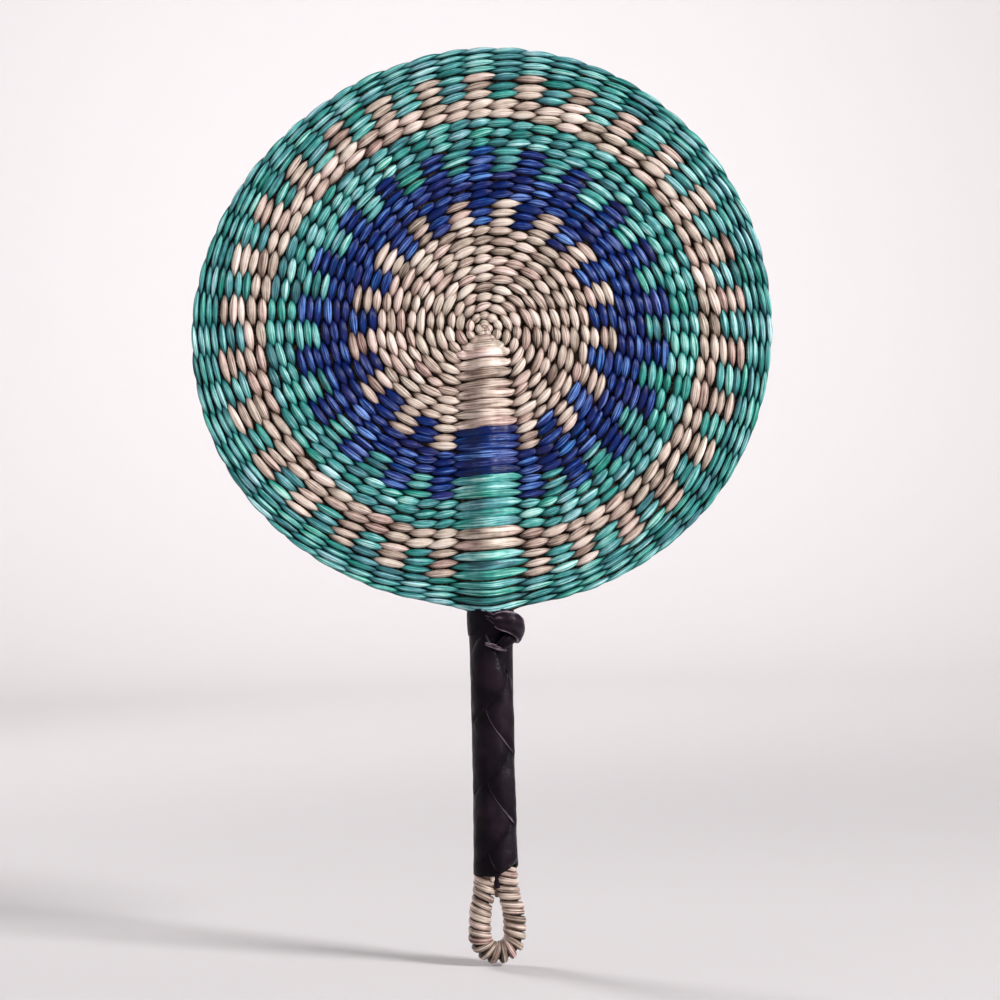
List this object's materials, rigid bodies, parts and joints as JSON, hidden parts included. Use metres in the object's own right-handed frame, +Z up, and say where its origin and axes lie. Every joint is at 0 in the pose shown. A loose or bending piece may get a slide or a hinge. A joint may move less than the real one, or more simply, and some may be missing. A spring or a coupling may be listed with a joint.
{
  "type": "woven hand fan",
  "caption": "Round twined-straw hand fan with a toothed colour-band pattern, a leather-covered handle laced down the front and a straw-bound hanging loop.",
  "frame": {"origin": "on the handle's axis at the middle of the leather grip", "axes": "+Z up the handle towards the woven disc, the disc lies in the XZ plane and its front faces -Y, +X to the right as the front is seen"},
  "size_m": [0.2552, 0.0252, 0.4045],
  "materials": {
    "straw_natural": "undyed twisted straw, satin",
    "straw_teal": "teal-green dyed straw, satin",
    "straw_blue": "deep blue dyed straw, satin",
    "straw_stems": "bundled straw stems, matt",
    "leather_dark": "dark tooled hide, semi-gloss"
  },
  "bodies": {
    "root": {"weft_front_centre": "straw_natural", "weft_back_centre": "straw_natural", "weft_front_inner_teeth": "straw_blue", "weft_back_inner_teeth": "straw_natural", "weft_front_blue_band": "straw_blue", "weft_back_blue_band": "straw_blue", "weft_front_middle_teeth": "straw_teal", "weft_back_middle_teeth": "straw_blue", "weft_front_teal_band": "straw_teal", "weft_back_teal_band": "straw_teal", "weft_front_natural_ring": "straw_natural", "weft_back_natural_ring": "straw_natural", "weft_front_outer_teeth": "straw_teal", "weft_back_outer_teeth": "straw_natural", "weft_front_rim_band": "straw_teal", "weft_back_rim_band": "straw_teal", "rim_round": "straw_teal", "handle_core": "straw_stems", "spoke_hairpin_01": "straw_stems", "spoke_hairpin_02": "straw_stems", "spoke_hairpin_03": "straw_stems", "spoke_hairpin_04": "straw_stems", "spoke_hairpin_05": "straw_stems", "spoke_hairpin_06": "straw_stems", "spoke_hairpin_07": "straw_stems", "spoke_hairpin_08": "straw_stems", "spoke_hairpin_09": "straw_stems", "spoke_hairpin_10": "straw_stems", "spoke_hairpin_11": "straw_stems", "spoke_hairpin_12": "straw_stems", "spoke_hairpin_13": "straw_stems", "spoke_hairpin_14": "straw_stems", "spoke_hairpin_15": "straw_stems", "spoke_hairpin_16": "straw_stems", "spoke_hairpin_17": "straw_stems", "spoke_hairpin_18": "straw_stems", "spoke_hairpin_19": "straw_stems", "spoke_hairpin_20": "straw_stems", "spoke_hairpin_21": "straw_stems", "spoke_hairpin_22": "straw_stems", "spoke_hairpin_23": "straw_stems", "spoke_hairpin_24": "straw_stems", "spoke_hairpin_25": "straw_stems", "leather_cover": "leather_dark", "top_thong": "leather_dark", "thong_knot": "leather_dark", "thong_tail": "leather_dark", "loop_core": "straw_stems", "loop_binding": "straw_natural"}
  },
  "joints": []
}
